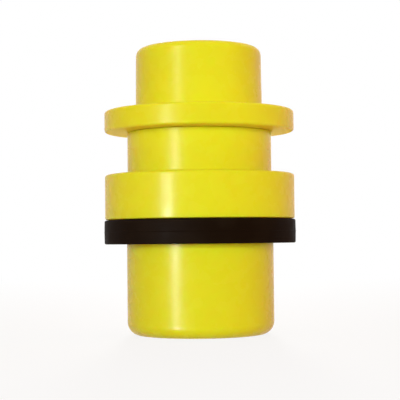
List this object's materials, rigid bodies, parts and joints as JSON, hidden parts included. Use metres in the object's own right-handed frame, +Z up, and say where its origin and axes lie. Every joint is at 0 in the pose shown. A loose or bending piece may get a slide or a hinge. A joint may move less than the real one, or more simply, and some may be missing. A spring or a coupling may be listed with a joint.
{
  "type": "fence insulator",
  "caption": "Stepped round knob insulator for an electric fence wire: spigot that pushes into a pipe post, rubber sealing ring, wire groove, and a screwed-down cap with a plugged head.",
  "frame": {"origin": "centre of the spigot's foot, on the knob's axis", "axes": "+Z up along the knob's axis, from the spigot to the head; +X through one of the cap's two keys"},
  "size_m": [0.027, 0.027, 0.0404],
  "materials": {
    "yellow_plastic": "moulded gloss",
    "black_rubber": "moulded matt",
    "brass": "turned and knurled",
    "zinc_steel": "bright zinc plate"
  },
  "bodies": {
    "base": {"base_body": "yellow_plastic", "seal_ring": "black_rubber", "thread_insert": "brass", "cap_o_ring": "black_rubber"},
    "cap": {"cap_body": "yellow_plastic", "flat_washer": "zinc_steel"},
    "bolt": {"clamp_bolt": "zinc_steel", "spring_washer": "zinc_steel", "keeper_ring": "zinc_steel"},
    "cover": {"cover_plug": "yellow_plastic"}
  },
  "joints": [
    {"name": "cap_lift", "type": "slide", "parent": "base", "child": "cap", "axis": [0, 0, 1], "range_m": [0, 0.005]},
    {"name": "bolt_turn", "type": "hinge", "parent": "cap", "child": "bolt", "pos_m": [0, 0, 0.03399], "axis": [0, 0, 1], "range_deg": [0, 1800]},
    {"name": "cover_pull", "type": "slide", "parent": "cap", "child": "cover", "axis": [0, 0, 1], "range_m": [0, 0.012]}
  ],
  "couplings": [
    {"joint": "bolt_turn", "follows": "cap_lift", "rad_per_m": 6283.2}
  ]
}
